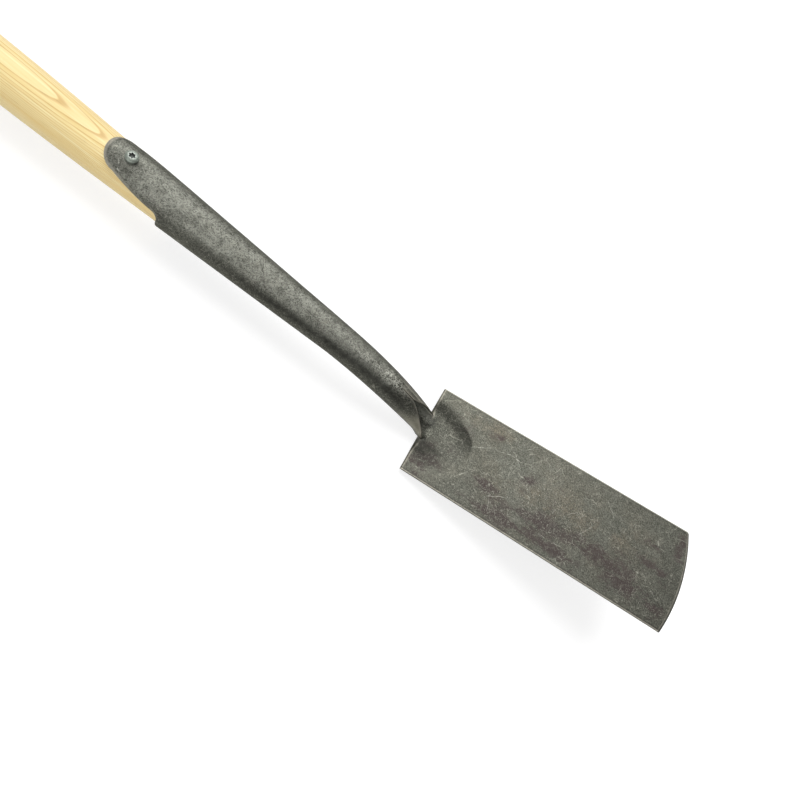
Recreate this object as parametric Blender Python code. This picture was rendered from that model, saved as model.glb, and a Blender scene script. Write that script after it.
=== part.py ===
# A narrow forged spade with a T grip, lying face up as it comes to rest.
# Meshes are laid out in the blade's frame: X from the tread to the cutting edge, Y across the blade,
# Z out of the front face. Stations along the handle are measured up its centre line from the tread.
# An empty then lays the whole spade down on its heel and its grip.

import math

import bmesh
import bpy
import numpy as np

# Fits
SEAM_GAP = 0.0003
HOLE_CLEARANCE = 0.0003

# Blade
BLADE_TOP_WIDTH = 0.0886
BLADE_EDGE_WIDTH = 0.0974
BLADE_SIDE_LENGTH = 0.2602
EDGE_BULGE = 0.0071
BLADE_THICKNESS = 0.0026
EDGE_THICKNESS = 0.0006
GROUND_BEVEL_WIDTH = 0.0024
EDGE_CORNER_RADIUS = 0.0010
TREAD_ROUNDING = 0.0018
TREAD_DROP = 0.0011

# Pressed hollow below the neck, an elliptic bowl
BOWL_DEPTH = 0.0039
BOWL_CENTRE = 0.012
BOWL_HALF_LENGTH = 0.036
BOWL_HALF_WIDTH = 0.033
BOWL_POWER = 2.6

# Swell of the plate's front where it meets the walls of the neck
SWELL_RISE = 0.0068
SWELL_LENGTH = 0.011
SWELL_SPREAD = 0.0042

# Neck and socket
LIFT_ANGLE = math.radians(15.4)
NECK_BEND_RADIUS = 0.317
NECK_BEND_LENGTH = 0.121
NECK_ROOT_RADIUS = 0.0104
NECK_BELLY = 0.0010
NECK_BELLY_LENGTH = 0.110
NECK_BELLY_POWER = 0.7
NECK_FLARE = 0.0022
NECK_FLARE_LENGTH = 0.010
NECK_END = 0.053
SLIT_HALF_WIDTH = 0.0004
SLIT_START = 0.033
SLIT_END = 0.046
LIP_REACH = 0.0030
LIP_ANGLE = math.radians(90)
MOUTH_POWER = 1.2
WELD_WIDTH = 0.004
SOCKET_WALL = 0.0023
SOCKET_TIP = 0.321
SOCKET_TIP_RADIUS = 0.0203

# Tongue of the socket, up the front of the shaft
TONGUE_LENGTH = 0.0530
TONGUE_TIP_LENGTH = 0.0130
TONGUE_TIP_ANGLE = math.radians(46)
TONGUE_ROOT_ANGLE = math.radians(66)
TONGUE_SIDE_POWER = 1.45
TONGUE_FILLET = 0.0055

# Pan head screw through the tongue
SCREW_STATION = 0.303
SCREW_HEAD_RADIUS = 0.00485
SCREW_HEAD_HEIGHT = 0.0030
SCREW_SHANK_RADIUS = 0.0025
SCREW_SHANK_LENGTH = 0.022
SCREW_POINT_LENGTH = 0.004
RECESS_RADIUS = 0.0021
RECESS_WAVE = 0.00035
RECESS_DEPTH = 0.0018

# Shaft
SHAFT_RADIUS = 0.0190
SHAFT_FOOT_GAP = 0.004
SHAFT_FOOT_CHAMFER = 0.002
SHAFT_FULL_STATION = 0.400
GRIP_STATION = 0.800
SHAFT_TOP_RADIUS = 0.0151
SHAFT_TOP_TAPER_LENGTH = 0.105
SHAFT_TOP_TAPER_POWER = 1.6
TENON_RADIUS = 0.0125

# T grip
GRIP_LENGTH = 0.155
GRIP_MIDDLE_RADIUS = 0.0225
GRIP_END_RADIUS = 0.0163
GRIP_BARREL_POWER = 1.8
GRIP_END_ROUNDING = 0.0035
PIN_RADIUS = 0.00175
PIN_SUNK = 0.0008

# Sides of the round pieces
SHAFT_SIDES = 32
SMALL_SIDES = 24


def clear_scene():
    for item in list(bpy.data.objects):
        bpy.data.objects.remove(item, do_unlink=True)


def finish_material(name, colour, roughness, metallic):
    material = bpy.data.materials.new(name)
    material.use_nodes = True
    shader = material.node_tree.nodes["Principled BSDF"]
    shader.inputs["Base Color"].default_value = (*colour, 1.0)
    shader.inputs["Roughness"].default_value = roughness
    shader.inputs["Metallic"].default_value = metallic
    material.diffuse_color = (*colour, 1.0)
    return material


def add_object(name, points, faces, material=None):
    mesh = bpy.data.meshes.new(name)
    mesh.from_pydata([tuple(p) for p in points], [], faces)
    form = bmesh.new()
    form.from_mesh(mesh)
    bmesh.ops.recalc_face_normals(form, faces=form.faces)
    form.to_mesh(mesh)
    form.free()
    mesh.shade_smooth()
    mesh.set_sharp_from_angle(angle=math.radians(35))
    item = bpy.data.objects.new(name, mesh)
    bpy.context.scene.collection.objects.link(item)
    if material:
        mesh.materials.append(material)
    else:
        item.hide_render = True
        item.display_type = "WIRE"
    return item


def combine(item, other, operation):
    modifier = item.modifiers.new(f"{operation.lower()} {other.name}", "BOOLEAN")
    modifier.operation = operation
    modifier.object = other


# A slab between two matching grids of points, rows by columns. From the row that is given, its columns
# close into a tube, and before that row they leave a slit.
def slab(name, upper, lower, material=None, closed_from=None):
    rows, columns = upper.shape[:2]
    closed_from = rows if closed_from is None else closed_from
    count = rows * columns
    points = np.concatenate([upper.reshape(count, 3), lower.reshape(count, 3)])
    rims = []
    faces = []
    for row in range(rows):
        last = columns if row >= closed_from else columns - 1
        for column in range(last):
            a = row * columns + column
            b = row * columns + (column + 1) % columns
            if row < rows - 1:
                faces.append((a, b, b + columns, a + columns))
                faces.append((a + columns + count, b + columns + count, b + count, a + count))
            if row in (0, rows - 1) or (row == closed_from and column == columns - 1):
                rims.append((a, b))
    for row in range(min(closed_from, rows - 1)):
        for column in (0, columns - 1):
            a = row * columns + column
            rims.append((a, a + columns))
    faces += [(a, b, b + count, a + count) for a, b in rims]
    return add_object(name, points, faces, material)


# A solid turned about a line: origin and unit axes along, out and across, then pairs of station and radius.
def turned(name, frame, profile, sides, material=None, wave=None):
    origin, along, out, across = frame
    angles = (np.arange(sides) + 0.5) * 2 * math.pi / sides
    spread = wave(angles) if wave else np.zeros(sides)
    points = []
    for station, radius in profile:
        reach = (radius + spread)[:, None]
        ring = np.cos(angles)[:, None] * out + np.sin(angles)[:, None] * across
        points.append(origin + station * along + reach * ring)
    rows = len(profile)
    faces = []
    for row in range(rows - 1):
        for side in range(sides):
            beside = (side + 1) % sides
            a, b = row * sides + side, row * sides + beside
            faces.append((a, b, b + sides, a + sides))
    faces.append(tuple(range(sides)))
    faces.append(tuple((rows - 1) * sides + side for side in range(sides)))
    return add_object(name, np.concatenate(points), faces, material)


# Blade

def half_width(x):
    share = x / BLADE_SIDE_LENGTH
    return (BLADE_TOP_WIDTH * (1 - share) + BLADE_EDGE_WIDTH * share) / 2


def bowl_drop(x, y):
    reach = np.hypot((x - BOWL_CENTRE) / BOWL_HALF_LENGTH, y / BOWL_HALF_WIDTH)
    return BOWL_DEPTH * np.maximum(0, 1 - reach**BOWL_POWER)


# How far the cutting edge reaches past the side corners: a circular arc with rounded ends.
def edge_reach(y):
    half = BLADE_EDGE_WIDTH / 2
    radius = (half**2 + EDGE_BULGE**2) / (2 * EDGE_BULGE)
    bulge = np.sqrt(radius**2 - y**2) - (radius - EDGE_BULGE)
    into_corner = np.clip(np.abs(y) - (half - EDGE_CORNER_RADIUS), 0, EDGE_CORNER_RADIUS)
    drop = EDGE_CORNER_RADIUS - np.sqrt(EDGE_CORNER_RADIUS**2 - into_corner**2)
    return bulge - drop


# The plate's front swells up against both walls of the neck and dies away along the blade.
def swell(x, y):
    to_wall = (np.abs(y) - (NECK_ROOT_RADIUS - BLADE_THICKNESS / 2)) / SWELL_SPREAD
    return SWELL_RISE * np.clip(1 - x / SWELL_LENGTH, 0, 1) ** 2 * np.exp(-(to_wall**2))


def blade_rows():
    bowl_end = BOWL_CENTRE + BOWL_HALF_LENGTH
    bevel_start = BLADE_SIDE_LENGTH - GROUND_BEVEL_WIDTH
    tread = TREAD_ROUNDING * (1 - np.cos(np.linspace(0, math.pi / 2, 4)))
    root = np.linspace(TREAD_ROUNDING, SWELL_LENGTH, 6)[1:]
    bowl = np.linspace(SWELL_LENGTH, bowl_end, 12)[1:]
    flat = np.linspace(bowl_end, bevel_start, 7)[1:]
    return np.concatenate([tread, root, bowl, flat, [BLADE_SIDE_LENGTH]])


def blade_columns():
    corner = EDGE_CORNER_RADIUS / (BLADE_EDGE_WIDTH / 2)
    rounding = 1 - corner * (1 - np.sin(np.linspace(0, math.pi / 2, 5)))
    inner = np.linspace(-rounding[0], rounding[0], 41)
    return np.concatenate([-rounding[:0:-1], inner, rounding[1:]])


def blade_grids():
    stations = blade_rows()[:, None]
    shares = blade_columns()[None, :]
    bowl_end = BOWL_CENTRE + BOWL_HALF_LENGTH
    bevel_start = BLADE_SIDE_LENGTH - GROUND_BEVEL_WIDTH
    spread = np.clip((stations - bowl_end) / (bevel_start - bowl_end), 0, 1)
    y = shares * half_width(stations)
    x = stations + spread * edge_reach(shares * BLADE_EDGE_WIDTH / 2)
    drop = bowl_drop(x, y)
    to_tread = np.clip(1 - x / TREAD_ROUNDING, 0, 1)
    nose = TREAD_DROP * (1 - np.sqrt(1 - to_tread**2))
    front = np.stack([x, y, swell(x, y) - drop - nose], axis=2)
    back = np.stack([x, y, -drop - BLADE_THICKNESS + nose], axis=2)
    front[-1, :, 2] -= BLADE_THICKNESS - EDGE_THICKNESS
    return front, back


# Centre line of neck and socket: an arc that rises from the tread, then a straight line at the lift angle.

def root_slope():
    return LIFT_ANGLE + NECK_BEND_LENGTH / NECK_BEND_RADIUS


def root_height():
    keel = bowl_drop(0.0, 0.0) + BLADE_THICKNESS
    return NECK_ROOT_RADIUS / math.cos(root_slope()) - keel


def centre_line(station):
    bent = np.minimum(station, NECK_BEND_LENGTH)
    slope = root_slope() - bent / NECK_BEND_RADIUS
    straight = np.maximum(station - NECK_BEND_LENGTH, 0)
    x = -NECK_BEND_RADIUS * (math.sin(root_slope()) - np.sin(slope)) - straight * np.cos(slope)
    z = NECK_BEND_RADIUS * (np.cos(slope) - math.cos(root_slope())) + straight * np.sin(slope)
    point = np.stack([x, 0 * x, z + root_height()], axis=-1)
    outward = np.stack([np.sin(slope), 0 * x, np.cos(slope)], axis=-1)
    return point, outward


def socket_radius(station):
    cone = NECK_ROOT_RADIUS + (SOCKET_TIP_RADIUS - NECK_ROOT_RADIUS) * station / SOCKET_TIP
    share = np.clip(station / NECK_BELLY_LENGTH, 0, 1)
    return cone + NECK_BELLY * np.sin(math.pi * share**NECK_BELLY_POWER)


# Points on the tube at a distance inside its outer face. Angle 0 is the front, towards the viewer.
# Near the tread the tube's sides flare out.
def tube_points(station, angle, inside=0.0):
    point, outward = centre_line(station)
    flare = NECK_FLARE * np.clip(1 - station / NECK_FLARE_LENGTH, 0, 1) ** 2
    reach = socket_radius(station) - inside + flare * np.sin(angle) ** 2
    side = np.array([0.0, 1.0, 0.0])
    around = np.cos(angle)[..., None] * outward + np.sin(angle)[..., None] * side
    return point + reach[..., None] * around


# Frame of a line along the straight shaft: origin, direction up the shaft, front and side.
def shaft_frame(station):
    point, outward = centre_line(np.array(station))
    along = np.array([-math.cos(LIFT_ANGLE), 0.0, math.sin(LIFT_ANGLE)])
    return point, along, outward, np.array([0.0, 1.0, 0.0])


# Station where the tube at this angle meets an upright plane just inside the tread.
def lip_station(angle):
    forward = NECK_ROOT_RADIUS * np.cos(angle) * math.sin(root_slope())
    return (forward - LIP_REACH) / math.cos(root_slope())


# The neck is the blade's own plate rolled into a tube. It opens towards the blade like a spout, and its
# rows run from the upright lip to the end of the neck. The two edges of the plate leave a short slit.
def neck_form():
    lip = lip_station(LIP_ANGLE)
    mouth = lip + (SLIT_START - lip) * np.linspace(0, 1, 9)
    slit = np.linspace(SLIT_START, SLIT_END, 3)[1:]
    rims = np.concatenate([mouth, slit, [NECK_END]])
    share = np.clip((SLIT_START - rims) / (SLIT_START - lip), 0, 1)
    narrow = SLIT_HALF_WIDTH / socket_radius(rims)
    opening = (narrow + (LIP_ANGLE - narrow) * share**MOUTH_POWER)[:, None]
    angle = opening + (2 * math.pi - 2 * opening) * np.linspace(0, 1, 33)[None, :]
    edge_lip = lip_station(opening[:, 0])
    along = ((rims - edge_lip) / (NECK_END - edge_lip))[:, None]
    stations = lip_station(angle) * (1 - along) + NECK_END * along
    outer = tube_points(stations, angle)
    inner = tube_points(stations, angle, BLADE_THICKNESS)
    return slab("neck_form", outer, inner, closed_from=len(rims) - 2)


# What lies below the blade's back, a little up into the plate, which trims the neck flush.
def under_form():
    into_plate = 0.0004
    x = np.linspace(0, BOWL_CENTRE + BOWL_HALF_LENGTH, 12)[:, None]
    y = np.linspace(-BOWL_HALF_WIDTH, BOWL_HALF_WIDTH, 17)[None, :]
    x, y = x + 0 * y, y + 0 * x
    top = np.stack([x, y, into_plate - BLADE_THICKNESS - bowl_drop(x, y)], axis=2)
    bottom = np.stack([x, y, 0 * x - BOWL_HALF_WIDTH], axis=2)
    return slab("under_form", top, bottom)


def make_blade():
    steel = finish_material("forged_steel", (0.115, 0.118, 0.108), 0.55, 0.75)
    front, back = blade_grids()
    blade = slab("blade", front, back, steel)
    neck = neck_form()
    combine(neck, under_form(), "DIFFERENCE")
    combine(blade, neck, "UNION")
    return blade


def make_neck_weld():
    weld_steel = finish_material("ground_weld", (0.15, 0.15, 0.14), 0.6, 0.7)
    start = NECK_END + SEAM_GAP
    stations = np.linspace(start, start + WELD_WIDTH, 3)[:, None]
    angle = np.linspace(0, 2 * math.pi, SHAFT_SIDES, endpoint=False)[None, :]
    stations = stations + 0 * angle
    outer = tube_points(stations, angle)
    inner = tube_points(stations, angle, BLADE_THICKNESS)
    return slab("neck_weld", outer, inner, weld_steel, closed_from=0)


# Upper outline of the socket: pairs of angle and distance below the tongue's tip, from the front to the back.
def tongue_outline():
    root = TONGUE_LENGTH - TONGUE_FILLET
    turn = TONGUE_FILLET / socket_radius(SOCKET_TIP - root)
    tip = np.linspace(0, math.pi / 2, 8)
    side = np.linspace(0, 1, 7)[1:]
    bowed = 1 - (1 - side) ** TONGUE_SIDE_POWER
    fillet = np.linspace(0, math.pi / 2, 5)[1:]
    back = np.linspace(TONGUE_ROOT_ANGLE + turn, math.pi, 8)[1:]
    angles = np.concatenate([
        TONGUE_TIP_ANGLE * np.sin(tip),
        TONGUE_TIP_ANGLE + (TONGUE_ROOT_ANGLE - TONGUE_TIP_ANGLE) * bowed,
        TONGUE_ROOT_ANGLE + turn * (1 - np.cos(fillet)),
        back,
    ])
    drops = np.concatenate([
        TONGUE_TIP_LENGTH * (1 - np.cos(tip)),
        TONGUE_TIP_LENGTH + (root - TONGUE_TIP_LENGTH) * side,
        root + TONGUE_FILLET * np.sin(fillet),
        np.full(len(back), TONGUE_LENGTH),
    ])
    return angles, drops


def make_socket():
    steel = finish_material("socket_steel", (0.12, 0.122, 0.112), 0.5, 0.75)
    angles, drops = tongue_outline()
    angle = np.concatenate([angles, 2 * math.pi - angles[-2:0:-1]])[None, :]
    drop = np.concatenate([drops, drops[-2:0:-1]])[None, :]
    start = NECK_END + WELD_WIDTH + 2 * SEAM_GAP
    bend = np.linspace(start, NECK_BEND_LENGTH, 9)
    upper = np.linspace(NECK_BEND_LENGTH, SOCKET_TIP, 10)[1:]
    share = (np.concatenate([bend, upper]) - start)[:, None] / (SOCKET_TIP - start)
    stations = start + share * (SOCKET_TIP - drop - start)
    angle = angle + 0 * stations
    outer = tube_points(stations, angle)
    inner = tube_points(stations, angle, SOCKET_WALL)
    socket = slab("socket", outer, inner, steel, closed_from=0)
    combine(socket, screw_hole_form(), "DIFFERENCE")
    return socket


# Screw

def screw_frame():
    point, along, outward, side = shaft_frame(SCREW_STATION)
    seat = point + (socket_radius(SCREW_STATION) + SEAM_GAP) * outward
    return seat, outward, along, side


def screw_hole_form():
    reach = SCREW_SHANK_RADIUS + HOLE_CLEARANCE
    above = SCREW_HEAD_HEIGHT
    depth = SCREW_SHANK_LENGTH + HOLE_CLEARANCE
    profile = [(above, reach), (-depth, reach)]
    return turned("screw_hole_form", screw_frame(), profile, SMALL_SIDES)


def make_screw():
    zinc = finish_material("zinc_plate", (0.42, 0.44, 0.44), 0.35, 0.9)
    crown = 0.4 * SCREW_HEAD_HEIGHT
    profile = [
        (-SCREW_SHANK_LENGTH, SCREW_SHANK_RADIUS * 0.2),
        (-SCREW_SHANK_LENGTH + SCREW_POINT_LENGTH, SCREW_SHANK_RADIUS),
        (0.0, SCREW_SHANK_RADIUS),
        (0.0, SCREW_HEAD_RADIUS * 0.97),
    ]
    for turn in np.linspace(0, math.pi / 2, 6)[:-1]:
        height = crown + (SCREW_HEAD_HEIGHT - crown) * math.sin(turn)
        profile.append((height, SCREW_HEAD_RADIUS * math.cos(turn) ** 0.6))
    screw = turned("socket_screw", screw_frame(), profile, SMALL_SIDES, zinc)
    floor = SCREW_HEAD_HEIGHT - RECESS_DEPTH
    recess = [(floor, RECESS_RADIUS), (SCREW_HEAD_HEIGHT * 1.5, RECESS_RADIUS)]
    star = turned("recess_form", screw_frame(), recess, 36, wave=lambda angles: RECESS_WAVE * np.cos(6 * angles))
    combine(screw, star, "DIFFERENCE")
    return screw


# Shaft

def seat_radius(station):
    return socket_radius(np.array(station)) - SOCKET_WALL - SEAM_GAP


def shaft_profile():
    foot = NECK_BEND_LENGTH + SHAFT_FOOT_GAP
    profile = [(foot, seat_radius(foot) - SHAFT_FOOT_CHAMFER)]
    for station in np.linspace(foot + SHAFT_FOOT_CHAMFER, SOCKET_TIP, 5):
        profile.append((station, seat_radius(station)))
    rise = SHAFT_RADIUS - seat_radius(SOCKET_TIP)
    for share in np.linspace(0, 1, 6)[1:]:
        station = SOCKET_TIP + share * (SHAFT_FULL_STATION - SOCKET_TIP)
        profile.append((station, SHAFT_RADIUS - rise * (1 - share) ** 1.5))
    underside = GRIP_STATION - GRIP_MIDDLE_RADIUS
    for share in np.linspace(0, 1, 9):
        station = underside - (1 - share) * SHAFT_TOP_TAPER_LENGTH
        narrowing = (SHAFT_RADIUS - SHAFT_TOP_RADIUS) * share**SHAFT_TOP_TAPER_POWER
        profile.append((station, SHAFT_RADIUS - narrowing))
    profile.append((GRIP_STATION, SHAFT_TOP_RADIUS))
    return [(station, radius) for station, radius in profile]


def straight_frame():
    point, along, outward, side = shaft_frame(GRIP_STATION)
    return point - GRIP_STATION * along, along, outward, side


def make_shaft():
    ash = finish_material("ash_shaft", (0.72, 0.55, 0.30), 0.45, 0.0)
    shaft = turned("shaft", straight_frame(), shaft_profile(), SHAFT_SIDES, ash)
    cope = turned("cope_form", grip_frame(), grip_profile(SEAM_GAP), SHAFT_SIDES)
    combine(shaft, cope, "DIFFERENCE")
    ends = [(GRIP_STATION - GRIP_MIDDLE_RADIUS - TENON_RADIUS, TENON_RADIUS)]
    ends.append((GRIP_STATION + 2 * GRIP_MIDDLE_RADIUS, TENON_RADIUS))
    tenon = turned("tenon_form", straight_frame(), ends, SMALL_SIDES)
    combine(tenon, turned("flush_form", grip_frame(), grip_profile(), SHAFT_SIDES), "INTERSECT")
    root = [ends[0], (GRIP_STATION, TENON_RADIUS)]
    combine(shaft, turned("tenon_root_form", straight_frame(), root, SMALL_SIDES), "UNION")
    combine(shaft, tenon, "UNION")
    combine(shaft, screw_pilot_form(), "DIFFERENCE")
    combine(shaft, pin_hole_form("shaft_pin_hole_form"), "DIFFERENCE")
    return shaft


def screw_pilot_form():
    reach = SCREW_SHANK_RADIUS + HOLE_CLEARANCE
    depth = SCREW_SHANK_LENGTH + HOLE_CLEARANCE
    profile = [(SCREW_HEAD_HEIGHT, reach), (-depth, reach)]
    return turned("screw_pilot_form", screw_frame(), profile, SMALL_SIDES)


# T grip

def grip_frame():
    point, along, outward, side = shaft_frame(GRIP_STATION)
    return point, side, outward, along


def grip_radius(y):
    share = np.abs(y) / (GRIP_LENGTH / 2)
    return GRIP_MIDDLE_RADIUS - (GRIP_MIDDLE_RADIUS - GRIP_END_RADIUS) * share**GRIP_BARREL_POWER


def grip_profile(outside=0.0):
    half = GRIP_LENGTH / 2
    body = half - GRIP_END_ROUNDING
    stations = list(np.linspace(-body, body, 16))
    profile = [(y, grip_radius(y) + outside) for y in stations]
    for turn in np.linspace(0, math.pi / 2, 4)[1:]:
        reach = GRIP_END_ROUNDING * math.sin(turn)
        inward = GRIP_END_ROUNDING * (1 - math.cos(turn))
        radius = grip_radius(body) - inward + outside
        profile.append((body + reach, radius))
        profile.insert(0, (-body - reach, radius))
    return profile


def pin_hole_form(name):
    origin, along, outward, side = shaft_frame(GRIP_STATION)
    reach = 2 * GRIP_MIDDLE_RADIUS
    radius = PIN_RADIUS + HOLE_CLEARANCE
    return turned(name, (origin, outward, along, side), [(-reach, radius), (reach, radius)], SMALL_SIDES)


def make_grip():
    ash = finish_material("ash_grip", (0.74, 0.57, 0.32), 0.45, 0.0)
    grip = turned("grip", grip_frame(), grip_profile(), SHAFT_SIDES, ash)
    radius = TENON_RADIUS + HOLE_CLEARANCE
    reach = 2 * GRIP_MIDDLE_RADIUS
    bore = [(GRIP_STATION - reach, radius), (GRIP_STATION + reach, radius)]
    combine(grip, turned("bore_form", straight_frame(), bore, SMALL_SIDES), "DIFFERENCE")
    combine(grip, pin_hole_form("grip_pin_hole_form"), "DIFFERENCE")
    return grip


def make_pin():
    steel = finish_material("pin_steel", (0.30, 0.29, 0.27), 0.5, 0.8)
    origin, along, outward, side = shaft_frame(GRIP_STATION)
    reach = GRIP_MIDDLE_RADIUS - PIN_SUNK
    profile = [(-reach, PIN_RADIUS), (reach, PIN_RADIUS)]
    return turned("grip_pin", (origin, outward, along, side), profile, SMALL_SIDES, steel)


# Rest: the spade lies on the heel of its blade and on its grip.

def outline_points(item):
    graph = bpy.context.evaluated_depsgraph_get()
    mesh = item.evaluated_get(graph).to_mesh()
    points = np.empty(len(mesh.vertices) * 3)
    mesh.vertices.foreach_get("co", points)
    return points.reshape(-1, 3)


def height(points, tilt):
    return points[:, 0] * math.sin(tilt) + points[:, 2] * math.cos(tilt)


def resting_tilt(head, grip):
    low, high = 0.0, math.radians(45)
    for _ in range(50):
        tilt = (low + high) / 2
        if height(head, tilt).min() < height(grip, tilt).min():
            low = tilt
        else:
            high = tilt
    return tilt


def lay_down(pieces, blade, grip):
    bpy.context.view_layer.update()
    tilt = resting_tilt(outline_points(blade), outline_points(grip))
    every = np.concatenate([outline_points(piece) for piece in pieces])
    along = every[:, 0] * math.cos(tilt) - every[:, 2] * math.sin(tilt)
    rest = bpy.data.objects.new("rest", None)
    bpy.context.scene.collection.objects.link(rest)
    rest.rotation_euler = (0.0, -tilt, 0.0)
    rest.location = (-(along.min() + along.max()) / 2, 0.0, -height(every, tilt).min())
    for item in list(bpy.context.scene.collection.objects):
        if item is not rest:
            item.parent = rest
    print("tilt in degrees", math.degrees(tilt), "rest offset", tuple(rest.location))


def main():
    clear_scene()
    blade = make_blade()
    weld = make_neck_weld()
    socket = make_socket()
    screw = make_screw()
    shaft = make_shaft()
    grip = make_grip()
    pin = make_pin()
    lay_down([blade, weld, socket, screw, shaft, grip, pin], blade, grip)


main()
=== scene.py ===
import math

import bmesh
import bpy
import numpy as np
from mathutils import Matrix, Vector


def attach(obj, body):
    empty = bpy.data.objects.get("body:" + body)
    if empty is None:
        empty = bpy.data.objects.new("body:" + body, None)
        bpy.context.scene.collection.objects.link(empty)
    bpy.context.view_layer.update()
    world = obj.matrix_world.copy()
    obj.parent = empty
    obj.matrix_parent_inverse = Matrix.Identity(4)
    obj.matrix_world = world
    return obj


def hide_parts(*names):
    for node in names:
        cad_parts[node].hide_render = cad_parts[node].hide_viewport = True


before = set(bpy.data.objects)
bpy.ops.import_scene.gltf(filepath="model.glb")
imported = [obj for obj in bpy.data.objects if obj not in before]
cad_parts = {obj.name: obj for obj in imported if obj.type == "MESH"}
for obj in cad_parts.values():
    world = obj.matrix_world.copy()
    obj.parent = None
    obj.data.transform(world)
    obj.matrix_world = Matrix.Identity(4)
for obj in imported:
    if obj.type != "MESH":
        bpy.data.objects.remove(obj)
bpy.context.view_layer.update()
print("frame loaded:", ", ".join(sorted(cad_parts)))

# Pieces are made in the blade's own frame, in metres: X from the tread to the cutting edge, Y across, Z out of
# the front face. The spade then lies down by a turn about Y and a shift.
lie = dict(tilt=math.radians(16.319717926), shift=(0.282187700, 0, 0.005844738))


def layDown(points):  # x' = x cos t - z sin t, z' = x sin t + z cos t, plus the shift
    c, s = math.cos(lie["tilt"]), math.sin(lie["tilt"])
    x, y, z = np.moveaxis(points, -1, 0)
    return np.stack([x * c - z * s, y, x * s + z * c], axis=-1) + lie["shift"]


def operator(operation, reflected=False):
    return lambda one, other: one.math(operation, *((other, one) if reflected else (one, other)))


class Socket:
    # One output of a node. Sums, products and powers of sockets and numbers add the Math nodes for them.
    __add__, __radd__ = operator("ADD"), operator("ADD", True)
    __sub__, __rsub__ = operator("SUBTRACT"), operator("SUBTRACT", True)
    __mul__, __rmul__ = operator("MULTIPLY"), operator("MULTIPLY", True)
    __truediv__, __pow__ = operator("DIVIDE"), operator("POWER")

    def __init__(self, tree, output):
        self.tree, self.output = tree, output

    def __abs__(self):
        return self.math("ABSOLUTE", self)

    # Adds any node: its type, its settings first, then the values or links of its inputs.
    def add(self, kind, settings, inputs, output=0):
        node = self.tree.nodes.new("ShaderNode" + kind)
        for name, value in settings.items():
            setattr(node, name, value)
        for name, value in inputs.items():
            if isinstance(value, Socket):
                self.tree.links.new(value.output, node.inputs[name])
            elif isinstance(value, tuple) and node.inputs[name].type == "RGBA":
                node.inputs[name].default_value = (*value, 1)
            else:
                node.inputs[name].default_value = value
        return Socket(self.tree, node.outputs[output]) if node.outputs else None

    def math(self, operation, *values, clamp=False):
        return self.add("Math", {"operation": operation, "use_clamp": clamp}, dict(enumerate(values)))

    def vector(self, operation, inputs, output=0):
        return self.add("VectorMath", {"operation": operation}, inputs, output)

    def rise(self, low, high):  # smooth step from 0 at low to 1 at high
        return self.add("MapRange", {"interpolation_type": "SMOOTHSTEP"}, {0: self, 1: low, 2: high})

    def limit(self):  # keeps a number between 0 and 1
        return self.math("ADD", self, 0, clamp=True)

    def noise(self, scale, detail=2, roughness=0.5, distortion=0, output=0):
        inputs = {"Vector": self, "Scale": scale, "Detail": detail, "Roughness": roughness, "Distortion": distortion}
        return self.add("TexNoise", {}, inputs, output)

    def cells(self, scale, feature="DISTANCE_TO_EDGE"):
        return self.add("TexVoronoi", {"feature": feature}, {"Vector": self, "Scale": scale})

    def shake(self, scale, amount):  # moves a place about by a coloured noise
        drift = self.vector("SUBTRACT", {0: self.noise(scale, output=1), 1: (0.5,) * 3})
        return self.vector("MULTIPLY_ADD", {0: drift, 1: (amount,) * 3, 2: self})

    def stretch(self, scale, turn=(0, 0, 0)):  # makes what is read there longer along X as scale falls
        inputs = {"Vector": self, "Rotation": turn, "Scale": (scale, 1, 1)}
        return self.add("Mapping", {"vector_type": "POINT"}, inputs)

    # 1 on the line from start to end, falling to 0 at the reach: the distance to the nearest point of the line.
    def closeTo(self, start, end, reach):
        start, way = Vector(start), Vector(end) - Vector(start)
        away = self.vector("SUBTRACT", {0: self, 1: tuple(start)})
        share = away.vector("DOT_PRODUCT", {0: away, 1: tuple(way / way.length_squared)}, "Value")
        nearest = away.vector("SCALE", {0: tuple(way), "Scale": share.limit()})
        return 1 - away.vector("DISTANCE", {0: away, 1: nearest}, "Value").rise(0, reach)

    def dots(self, shake, amount, scale, low, high):  # 1 in the middle of each cell, falling between low and high
        return 1 - self.shake(shake, amount).cells(scale, "F1").rise(low, high)

    def trait(self, name):  # a number that the mesh carries at each of its points
        return self.add("Attribute", {"attribute_type": "GEOMETRY", "attribute_name": name}, {}, output=2)

    def blend(self, first, second):  # mixes two colours; self is the share of the second
        return self.add("Mix", {"data_type": "RGBA"}, {0: self, 6: first, 7: second}, output=2)


def layUp(colour, look, layers):  # lays colours of the look over one another, each by its share
    for share, name in layers:
        colour = share.limit().blend(colour, look[name])
    return colour


def startNodes(owner, place="Object"):  # an empty node tree, and the place that its patterns read
    owner.use_nodes = True
    owner.node_tree.nodes.clear()
    return Socket(owner.node_tree, owner.node_tree.nodes.new("ShaderNodeTexCoord").outputs[place])


def startFinish(name):
    finish = bpy.data.materials.new(name)
    return finish, startNodes(finish)


# Closes a material: what varies comes as sockets, and what is the same all over comes as numbers.
def endFinish(finish, place, colour, roughness, metallic, height, depth, fixed):
    normal = place.add("Bump", {}, {"Strength": 1, "Distance": depth, "Height": height})
    inputs = {"Base Color": colour, "Roughness": roughness, "Metallic": metallic, "Normal": normal, **fixed}
    place.add("OutputMaterial", {}, {"Surface": place.add("BsdfPrincipled", {}, inputs)})
    return finish


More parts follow.
